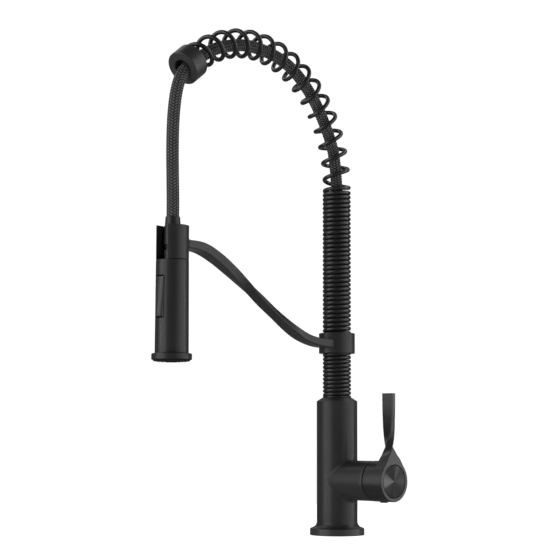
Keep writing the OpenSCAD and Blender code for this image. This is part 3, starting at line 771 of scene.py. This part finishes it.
def hose(name, P, step, sides=96, relief=0.6, origin=0.0, shift=0.3):
    """Braided tube: twelve columns of slanted strands that cross in turn, their relief worked into the mesh."""
    P = np.asarray(P, float)
    Q = through(P, np.linspace(0, len(P) - 1, 60 * len(P)))
    s = np.r_[0, np.cumsum(np.hypot(*np.diff(Q, axis=0).T))]
    # a light pass keeps the bend even between stations
    ss = np.arange(0, s[-1], step)
    ss = np.r_[ss, s[-1]] if s[-1] - ss[-1] > 0.3 * step else np.r_[ss[:-1], s[-1]]
    d, z = np.interp(ss, s, Q[:, 0]), np.interp(ss, s, Q[:, 1])
    k = max(3, int(3.0 / step)) | 1
    pad = k // 2
    ker = np.hanning(k + 2)[1:-1]
    ker /= ker.sum()
    ds_ = np.convolve(np.r_[2 * d[0] - d[pad:0:-1], d, 2 * d[-1] - d[-2:-pad - 2:-1]], ker, "valid")
    zs_ = np.convolve(np.r_[2 * z[0] - z[pad:0:-1], z, 2 * z[-1] - z[-2:-pad - 2:-1]], ker, "valid")
    C = np.c_[np.zeros_like(ds_), -ds_, zs_]
    T = unit(np.gradient(C, axis=0))
    U = np.tile([1.0, 0, 0], (len(C), 1))
    W = np.cross(T, U)
    a = 2 * math.pi * np.arange(sides) / sides
    col = a / (2 * math.pi) * 12 - shift
    c, fx = np.floor(col), col - np.floor(col)
    slant = np.where(c.astype(int) % 2 == 1, 1.0, -1.0)
    ph = (ss[:, None] + origin) / 2.75 + (slant * (fx - 0.5) * 0.63)[None, :] + (c * 0.5)[None, :]
    ridge = np.abs(np.sin(math.pi * ph)) ** 0.9
    side = np.sin(math.pi * np.clip(fx, 0, 1)) ** 0.5
    lift = ridge * (0.25 + 0.75 * side)[None, :]
    r = 6.05 + relief * (lift - 1.0)
    V = C[:, None] + r[..., None] * (np.cos(a)[None, :, None] * U[:, None] + np.sin(a)[None, :, None] * W[:, None])
    V = V.reshape(-1, 3)
    m = len(V)
    V = np.vstack([V, C[0], C[-1]])
    i = np.arange(sides)
    j = (i + 1) % sides
    tris = np.vstack([np.c_[np.full(sides, m), j, i],
                      np.c_[np.full(sides, m + 1), (len(C) - 1) * sides + i, (len(C) - 1) * sides + j]])
    o = make(name, V, grid_faces(len(C), sides), braid, tris=tris)
    weave = o.data.attributes.new("weave", "FLOAT", "POINT")
    weave.data.foreach_set("value", np.r_[lift.ravel(), 0.5, 0.5].astype(np.float32))
    return o, ss[-1]


hose_up, len_up = hose("hose_over_arch", HOSE_UP, 0.34, sides=96, shift=0.7)
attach(hose_up, "spout")
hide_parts("hose_arch")
hose_dn, len_dn = hose("hose_to_head", HOSE_DOWN, 0.26, sides=108, origin=len_up)
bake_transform(hose_dn)
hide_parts("hose_drop")

# ------------------------------------------------------------------ collars
clamp = lathe("arm_clamp_collar", corners([(10.05, 182.8, 0.3), (18.3, 182.8, 0.45), (18.3, 203.3, 0.45), (10.05, 203.3, 0.3)]), coat, n=144)
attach(clamp, "spout")
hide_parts("arm_collar")

# the spring-end collar takes a lighter copy of the black coat: painted light
end_collar = lathe("spring_end_ring", corners([(8.9, -10.6, 0.4), (8.9, -0.6, 0.1), (9.5, 0, 0.2), (16.1, 0, 0.12), (16.7, -0.6, 0.12),
                                               (16.7, -16.2, 0.3), (16.3, -16.6, 0.2), (14.9, -16.6, 0.2), (14.9, -10.6, 0.5)]), collar_painted_light, at_mouth, n=144)
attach(end_collar, "spout")
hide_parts("spring_end_collar")

# ------------------------------------------------------------------ docking arm
ARM = [[12, 192.5, 90, 4.4, 9.8], [30, 192.9, 90, 4, 8], [50, 197.2, 87, 3.9, 6.5],
       [70, 206, 67, 4, 5.2], [90, 217.6, 54, 4.3, 4.4], [110, 230.2, 46, 4.9, 4.6],
       [130, 243.3, 26, 5.6, 4.9], [150, 256, 9, 6.5, 4.8], [170, 267, 4, 7.4, 4.7],
       [190, 274.3, 1.5, 8.3, 4.4], [212, 275.5, 0, 9.2, 3.8]]


def build_arm():
    L = through(ARM, np.linspace(0, len(ARM) - 1, 721))
    s = np.r_[0, np.cumsum(np.hypot(*np.diff(L[:, :2], axis=0).T))]
    ss = np.linspace(0, s[-1], 420)
    L = np.c_[tuple(np.interp(ss, s, L[:, i]) for i in range(5))]
    k = 15
    ker = np.hanning(k + 2)[1:-1]
    ker /= ker.sum()
    p = k // 2
    L = np.c_[tuple(np.convolve(np.r_[2 * c[0] - c[p:0:-1], c, 2 * c[-1] - c[-2:-p - 2:-1]], ker, "valid") for c in L.T)]
    keep = (L[:, 0] > 14.5) & (L[:, 0] < 212.5)
    w = np.c_[np.gradient(L[:, 0]), np.gradient(L[:, 1])]
    w = unit(w)
    L, w = L[keep], w[keep]
    # outline of a section: rounded rectangle, 10 points a corner and support points on the flats
    r, per = 1.25, 9

    def outline(a, b):
        pts = []
        for qx, qy, q0 in ((1, 1, 0), (-1, 1, 90), (-1, -1, 180), (1, -1, 270)):
            for j in range(per + 1):
                t = math.radians(q0 + 90 * j / per)
                pts.append((qx * (a - r) + r * math.cos(t), qy * (b - r) + r * math.sin(t), math.cos(t), math.sin(t)))
        pts = np.array(pts)
        out = []
        for i in range(len(pts)):
            out.append(pts[i])
            j = (i + 1) % len(pts)
            if np.linalg.norm(pts[i, :2] - pts[j, :2]) > 1.0:
                d = pts[j] - pts[i]
                ln = np.linalg.norm(d[:2])
                out += [pts[i] + d * t for t in (0.25 / ln, 0.33, 0.5, 0.67, 1 - 0.25 / ln)]
        return np.array(out)

    V = []
    for q, ww in zip(L, w):
        T = np.array([0, -ww[0], ww[1]])
        N = np.cross(T, X)
        c, sn = math.cos(math.radians(q[2])), math.sin(math.radians(q[2]))
        u, v = c * X - sn * N, c * N + sn * X
        o = outline(q[3], q[4])
        pos = np.array([0, -q[0], q[1]]) + o[:, :1] * u + o[:, 1:2] * v
        nrm = unit(o[:, 2:3] * u + o[:, 3:4] * v)
        for cx, cy, R, rf in ((0, 0, 18.3, 0.5), (0, -223, 15.1, 1.1)):
            dist = np.hypot(pos[:, 0] - cx, pos[:, 1] - cy) - R
            t = np.clip(rf - dist, 0, rf)
            g = rf - np.sqrt(np.maximum(rf * rf - t * t, 0))
            pos = pos + nrm * (g * (dist > -0.3))[:, None] + nrm * (rf * (dist <= -0.3))[:, None]
        V.append(pos)
    cols = len(V[0])
    V = np.vstack(V)
    rows = len(V) // cols
    m = len(V)
    V = np.vstack([V, V[:cols].mean(0), V[-cols:].mean(0)])
    i = np.arange(cols)
    j = (i + 1) % cols
    tris = np.vstack([np.c_[np.full(cols, m), j, i], np.c_[np.full(cols, m + 1), (rows - 1) * cols + i, (rows - 1) * cols + j]])
    return make("arm", V, grid_faces(rows, cols), coat, tris=tris)


arm = build_arm()
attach(arm, "spout")
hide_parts("dock_arm")


def c_ring(name, r0, r1, z0, z1, half, e, mat, n=120):
    """Ring with a slot of half width `half` towards -Y, all its edges rounded by e."""
    prof = corners([(r0, z0, e), (r1, z0, e), (r1, z1, e), (r0, z1, e)])
    m = len(prof)
    rows = []
    cut = math.asin(half / r1)
    for k in range(n + 1):
        t = k / n
        # steps round the ring between the slot's two sides, evenly spaced
        a0 = -math.pi / 2 + cut
        a = a0 + (2 * math.pi - 2 * cut) * t
        rows.append((a, 0.0))
    V = []
    ends = []
    for side, a in ((0, rows[0][0]), (1, rows[-1][0])):
        shrink = [(0.0, e), (0.134 * e, 0.5 * e), (0.5 * e, 0.134 * e), (e, 0.0)]
        ends.append(shrink)
    mid_r, mid_z = (r0 + r1) / 2, (z0 + z1) / 2

    def section(a, inset, slide, flat):
        p = prof.copy()
        p[:, 0] = mid_r + (p[:, 0] - mid_r) * (1 - inset / ((r1 - r0) / 2))
        p[:, 1] = mid_z + (p[:, 1] - mid_z) * (1 - inset / ((z1 - z0) / 2))
        x, y = p[:, 0] * math.cos(a), p[:, 0] * math.sin(a)
        if flat is not None:
            # slot faces are flat and parallel to the slot
            x = np.full(m, flat)
            y = -np.sqrt(np.maximum(p[:, 0] ** 2 - flat ** 2, 0))
        return np.c_[x, y, p[:, 1]]

    for inset, slide in ((e, 0.0), (0.5 * e, 0.134 * e), (0.134 * e, 0.5 * e), (0.0, e), (0.0, e + 0.25)):
        V.append(section(0, inset, slide, half + slide))
    inner = np.linspace(0, 1, n)[1:-1]
    for t in inner:
        # sections sweep from the flat slot face round the ring
        k = min(1.0, min(t, 1 - t) / 0.06)
        p = prof
        cut_p = np.arcsin(np.minimum(1, (half + e + 0.25) / p[:, 0]))
        a = -math.pi / 2 + cut_p + (2 * math.pi - 2 * cut_p) * t
        V.append(np.c_[p[:, 0] * np.cos(a), p[:, 0] * np.sin(a), p[:, 1]])
    for inset, slide in ((0.0, e + 0.25), (0.0, e), (0.134 * e, 0.5 * e), (0.5 * e, 0.134 * e), (e, 0.0)):
        V.append(section(0, inset, slide, -(half + slide)))
    rowsn = len(V)
    V = np.vstack(V)
    mm = len(V)
    V = np.vstack([V, V[:m].mean(0), V[-m:].mean(0)])
    i = np.arange(m)
    j = (i + 1) % m
    tris = np.vstack([np.c_[np.full(m, mm), j, i], np.c_[np.full(m, mm + 1), (rowsn - 1) * m + i, (rowsn - 1) * m + j]])
    return make(name, at_head(V), grid_faces(rowsn, m), mat, tris=tris)


holder = c_ring("dock_ring", 9.2, 15.1, 259.9, 291.6, 7.5, 0.35, coat)
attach(holder, "spout")
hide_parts("dock_holder")

# ------------------------------------------------------------------ neck
ferrule = lathe("hose_sleeve", corners([(4.2, 252, 0.3), (5.95, 252, 0.3), (5.95, 254.9, 0.1), (5.05, 254.9, 0.1), (5.05, 256.9, 0.1),
                                        (5.95, 256.9, 0.1), (5.95, 273.6, 0.1), (7.75, 273.6, 0.35), (7.75, 291.4, 0.3), (7.3, 291.8, 0.2),
                                        (6.75, 299.6, 0.25), (6.35, 300.0, 0.2), (4.2, 300, 0.2)]), coat_head, at_head, n=96)
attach(ferrule, "neck")
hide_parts("hose_ferrule")

swivel = lathe("swivel_collar", corners([(6.0, 269.15, 0.05), (6.35, 269.15, 0.05), (6.35, 270.7, 0.1), (6.9, 270.85, 0.2), (6.9, 271.9, 0.2),
                                         (6.35, 272.05, 0.1), (6.35, 273.5, 0.05), (6.0, 273.5, 0.05)]), plastic, at_head, n=72)
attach(swivel, "neck")
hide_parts("swivel_ring")

# ------------------------------------------------------------------ spray head
HEAD = dict(z0=174.3, z1=259.6, r0=15.6, r1=15.15)


def head_radius(z):
    return HEAD["r0"] + (HEAD["r1"] - HEAD["r0"]) * (np.asarray(z, float) - HEAD["z0"]) / (HEAD["z1"] - HEAD["z0"])


def build_head():
    """Shell of the spray head, with a rounded opening for the rocker."""
    n, M, K = 144, 44, 6
    th = -math.pi + 2 * math.pi * np.arange(n) / n   # the opening faces -Y, angle -90 degrees
    half = 16                                        # segments either side of the opening's middle
    i0 = n // 4 - half
    z_lo, z_hi = 199.0, 252.0
    hw, zb, zt, rc = 5.5, 206.2, 245.1, 1.3
    prof_low = corners([(13.0, 200, 0), (13.0, 174.3, 0.3), (15.6, 174.3, 0.35), (head_radius(z_lo), z_lo, 0)], closed=False)
    prof_low = split(prof_low, 6.0)
    prof_high = corners([(head_radius(z_hi), z_hi, 0), (15.15, 259.6, 0.6), (7.75, 259.6, 0.5), (7.75, 268.9, 0.35), (6.1, 269, 0.1),
                         (6.1, 252, 0.1), (12.9, 252, 0.5), (12.9, 245, 0)], closed=False)
    V, Q, count = [], [], 0

    def ring(r, z):
        nonlocal count
        V.append(np.c_[r * np.cos(th), r * np.sin(th), np.full(n, z)])
        count += n
        return count - n

    def join(a, b, idx):
        j = (idx + 1) % n
        Q.append(np.c_[a + idx, a + j, b + j, b + idx])

    every = np.arange(n)
    back = np.array([i for i in every if not i0 <= i < i0 + 2 * half])
    prev = None
    for r, z in prof_low:
        cur = ring(r, z)
        if prev is not None:
            join(prev, cur, every)
        prev = cur
    band = [prev]
    for k in range(1, M + 1):
        z = z_lo + (z_hi - z_lo) * k / M
        cur = ring(float(head_radius(z)), z)
        join(prev, cur, back)
        band.append(cur)
        prev = cur
    for r, z in prof_high[1:]:
        cur = ring(r, z)
        join(prev, cur, every)
        prev = cur
    w2 = 2 * half
    edge = [(i0 + i, 0) for i in range(w2)] + [(i0 + w2, k) for k in range(M)] \
        + [(i0 + w2 - i, M) for i in range(w2)] + [(i0, M - k) for k in range(M)]
    e_id = np.array([band[k] + i for i, k in edge])
    e_a = np.array([th[i] + math.pi / 2 for i, k in edge])
    e_z = np.array([z_lo + (z_hi - z_lo) * k / M for i, k in edge])
    e_x = np.array([head_radius(z) * math.sin(a) for a, z in zip(e_a, e_z)])
    # the same steps along the opening's outline: bottom, right, top and left sides
    hx = []
    for i, k in edge:
        fx = (i - i0) / w2 * 2 - 1
        fz = k / M * 2 - 1
        hx.append((fx, fz))
    hx = np.array(hx)

    def outline(grow):
        a, b, r = hw + grow, (zt - zb) / 2 + grow, rc + grow
        zc = (zt + zb) / 2
        out = []
        for fx, fz in hx:
            x, z = fx * a, fz * b
            # push the corner points onto the corner arcs
            ex, ez = abs(x) - (a - r), abs(z) - (b - r)
            if ex > 0 and ez > 0:
                ang = math.atan2(ez, ex)
                x = math.copysign(a - r + r * math.cos(ang), x)
                z = math.copysign(b - r + r * math.sin(ang), z)
            out.append((x, zc + z))
        return np.array(out)

    m = len(e_id)
    ids = [e_id]

    def put(x, z, drop):
        nonlocal count
        R = head_radius(z)
        y = -np.sqrt(R * R - x * x) + drop
        V.append(np.c_[x, y, z])
        ids.append(count + np.arange(m))
        count += m

    o = outline(0.30)
    for k in range(1, K + 1):
        t = (k / K) ** 0.8
        x = e_x + (o[:, 0] - e_x) * t
        z = e_z + (o[:, 1] - e_z) * t
        put(x, z, 0)
    for grow, drop in ((0.15, 0.04), (0.05, 0.12), (0.0, 0.30)):
        g = outline(grow)
        put(g[:, 0], g[:, 1], drop)
    g = outline(0.0)
    for depth in (0.6, 1.4, 2.3):
        put(g[:, 0], g[:, 1], depth)
    for a, b in zip(ids[:-1], ids[1:]):
        Q.append(np.c_[a, np.roll(a, -1), np.roll(b, -1), b])
    return make("head_body", at_head(np.vstack(V)), np.vstack(Q), coat_head)


head = build_head()
# inside walls of the opening round the rocker: painted shade, the shadow black
head.data.materials.append(dark_hole)
for p in list(head.data.polygons)[-4 * 152:]:
    p.material_index = 1
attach(head, "head")
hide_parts("head_shell")

rim = lathe("head_ring", corners([(14.5, 168.4, 0.1), (18.2, 168.4, 0.2), (18.6, 168.8, 0.3), (18.6, 173.6, 0.35), (17.9, 174.2, 0.2), (14.5, 174.2, 0.1)]),
            coat_head, at_head, n=128)
rim.data.materials.append(grey_face)
for face in rim.data.polygons:
    if face.normal.z < -0.6:
        face.material_index = 1
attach(rim, "head")
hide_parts("head_rim")


def build_button():
    """Rocker button: a rounded pad that follows the head's curve, with grip ribs near its lower end."""
    hw, z0, z1, rc = 4.95, 207.3, 244.2, 1.1
    nx, nz = 28, 170
    zc, b = (z0 + z1) / 2, (z1 - z0) / 2
    u = np.sin(np.linspace(-1, 1, nx + 1) * math.pi / 2)
    v = np.linspace(-1, 1, nz + 1)
    v = np.sign(v) * (1 - (1 - np.abs(v)) ** 1.0)
    U, W = np.meshgrid(u, v)
    # each level: inset of the outline, depth below the face
    levels = [(0.0, 3.0), (0.0, 1.6), (0.0, 0.75), (-0.06, 0.45), (-0.22, 0.2), (-0.5, 0.05), (-0.85, 0.0)]

    def face(x, z):
        """Distance of the face in front of the head's axis: flush along its top and flanks, proud at its lower middle."""
        edge = np.sqrt(np.maximum(head_radius(z) ** 2 - x * x, 0)) + 0.05
        rise = np.clip((z1 - z) / (z1 - z0), 0, 1)
        return edge + 2.4 * rise * np.maximum(1 - (x / hw) ** 2, 0) ** 0.5

    def ring(grow):
        pts = []
        a_, b_, r = hw + grow, b + grow, max(0.3, rc + grow)
        seq = [(x, -1) for x in np.linspace(-1, 1, nx + 1)[:-1]] + [(1, z) for z in np.linspace(-1, 1, nz + 1)[:-1]] \
            + [(x, 1) for x in np.linspace(1, -1, nx + 1)[:-1]] + [(-1, z) for z in np.linspace(1, -1, nz + 1)[:-1]]
        for fx, fz in seq:
            x, z = fx * a_, fz * b_
            ex, ez = abs(x) - (a_ - r), abs(z) - (b_ - r)
            if ex > 0 and ez > 0:
                ang = math.atan2(ez, ex)
                x = math.copysign(a_ - r + r * math.cos(ang), x)
                z = math.copysign(b_ - r + r * math.sin(ang), z)
            pts.append((x, zc + z))
        return np.array(pts)

    def relief(x, z):
        """Grip ribs, as height above the pad."""
        h = np.zeros_like(x)
        inside = np.clip((x + 4.3) / 0.5, 0, 1) * np.clip((-0.3 - x) / 0.5, 0, 1)
        for zr in (211.3, 212.95, 214.6, 216.25):
            h += 0.34 * np.exp(-((z - zr) / 0.38) ** 2) * inside
        return h

    V, count, Q = [], 0, []
    ids = []
    for grow, depth in levels:
        p = ring(grow)
        y = depth - face(p[:, 0], p[:, 1])
        V.append(np.c_[p[:, 0], y, p[:, 1]])
        ids.append(count + np.arange(len(p)))
        count += len(p)
    for a, b2 in zip(ids[:-1], ids[1:]):
        Q.append(np.c_[a, np.roll(a, -1), np.roll(b2, -1), b2])
    # top surface: a grid whose border is the last ring
    last = ids[-1]
    p = V[-1][:, [0, 2]]
    gx = np.zeros((nz + 1, nx + 1, 2))
    bot, rgt = p[:nx + 1], p[nx:nx + nz + 1]
    top = p[nx + nz:2 * nx + nz + 1][::-1]
    lft = np.vstack([p[2 * nx + nz:], p[:1]])[::-1]
    s = np.linspace(0, 1, nx + 1)[None, :, None]
    t = np.linspace(0, 1, nz + 1)[:, None, None]
    gx = (1 - t) * bot[None] + t * top[None] + (1 - s) * lft[:, None] + s * rgt[:, None] \
        - ((1 - s) * (1 - t) * bot[0] + s * (1 - t) * bot[-1] + (1 - s) * t * top[0] + s * t * top[-1])
    gid = np.full((nz + 1, nx + 1), -1)
    gid[0, :] = last[:nx + 1]
    gid[:, nx] = last[nx:nx + nz + 1]
    gid[nz, ::-1] = last[nx + nz:2 * nx + nz + 1]
    gid[1:, 0] = np.r_[last[2 * nx + nz:]][::-1][:nz] if nz == len(last[2 * nx + nz:]) else np.r_[last[2 * nx + nz:]][::-1]
    inner = gx[1:-1, 1:-1].reshape(-1, 2)
    V.append(np.c_[inner[:, 0], -face(inner[:, 0], inner[:, 1]) - relief(inner[:, 0], inner[:, 1]), inner[:, 1]])
    gid[1:-1, 1:-1] = count + np.arange(len(inner)).reshape(nz - 1, nx - 1)
    count += len(inner)
    Q.append(np.c_[gid[:-1, :-1].ravel(), gid[:-1, 1:].ravel(), gid[1:, 1:].ravel(), gid[1:, :-1].ravel()])
    V = np.vstack(V)
    # back of the pad
    m = len(ids[0])
    V = np.vstack([V, [0, -11.6, zc]])
    tris = np.c_[np.full(m, count), np.roll(ids[0], -1), ids[0]]
    return make("rocker", at_head(V), np.vstack(Q), rocker_finish, tris=tris)


button = build_button()
# side walls of the rocker: painted light, a lighter copy of the rocker's black
button.data.materials.append(rocker_side_painted_light)
for p in button.data.polygons:
    if abs(p.normal.x) > 0.75:
        p.material_index = 1
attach(button, "button")
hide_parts("rocker_button")

# ------------------------------------------------------------------ stage and light
def plain(name, colour, rough):
    m = material(name, colour, rough, vary=0.004, grain=30, bump=0.0)
    return m


FLOOR, SKY = 0.92, 0.08
floor_mat = plain("floor_pale", (0.9, 0.9, 0.9), 0.9)
fb = floor_mat.node_tree.nodes["Principled BSDF"]
fb.inputs["Emission Color"].default_value = (1, 1, 1, 1)
fb.inputs["Emission Strength"].default_value = FLOOR
floor = make("floor", [(-550, -700, 0), (550, -700, 0), (550, 450, 0), (-550, 450, 0)], [[0, 1, 2, 3]], floor_mat)
floor.visible_glossy = False

world = bpy.data.worlds.new("world")
scene.world = world
world.use_nodes = True
wn = world.node_tree
bg = wn.nodes["Background"]
bg.inputs["Color"].default_value = (1, 1, 1, 1)
bg.inputs["Strength"].default_value = SKY
bg2 = wn.nodes.new("ShaderNodeBackground")
bg2.inputs["Color"].default_value = (1, 1, 1, 1)
bg2.inputs["Strength"].default_value = 1.05
lp = wn.nodes.new("ShaderNodeLightPath")
mx = wn.nodes.new("ShaderNodeMixShader")
wn.links.new(lp.outputs["Is Camera Ray"], mx.inputs[0])
wn.links.new(bg.outputs[0], mx.inputs[1])
wn.links.new(bg2.outputs[0], mx.inputs[2])
wn.links.new(mx.outputs[0], wn.nodes["World Output"].inputs["Surface"])


def area(name, azimuth, elevation, distance, w, h, power, target=(0, -0.1, 0.27)):
    """Soft box. Azimuth is measured from the camera's direction, positive to its right."""
    base = math.radians(-45)
    a = base + math.radians(azimuth)
    e = math.radians(elevation)
    d = Vector((math.cos(e) * math.cos(a), math.cos(e) * math.sin(a), math.sin(e)))
    ld = bpy.data.lights.new(name, "AREA")
    ld.shape = "RECTANGLE"
    ld.size, ld.size_y = w, h
    ld.energy = power
    lo = bpy.data.objects.new(name, ld)
    scene.collection.objects.link(lo)
    lo.location = Vector(target) + d * distance
    lo.rotation_mode = "QUATERNION"
    lo.rotation_quaternion = (-d).to_track_quat("-Z", "Y")
    lo.visible_camera = False
    return lo


# name, azimuth, elevation, distance, width, height, watts
LIGHTS = [
    ("left_front", -48, 12, 1.6, 0.5, 2.1, 5.8),
    ("left_side", -74.5, 14, 1.6, 0.6, 2.2, 8.5),
    ("right_front", 45, 8, 1.6, 0.5, 1.8, 2.0),
    ("right_side", 70, 8, 1.6, 0.5, 1.8, 4.4),
    ("right_back", 97, 10, 1.6, 0.45, 2.0, 6.2),
    ("behind", 180, 10, 1.6, 1.2, 1.8, 1.5),
    ("back_left", -135, 48, 1.6, 0.8, 0.8, 2.2),
    ("back_right", 130, 48, 1.6, 0.8, 0.8, 2.6),
]
for entry in LIGHTS:
    area(*entry)
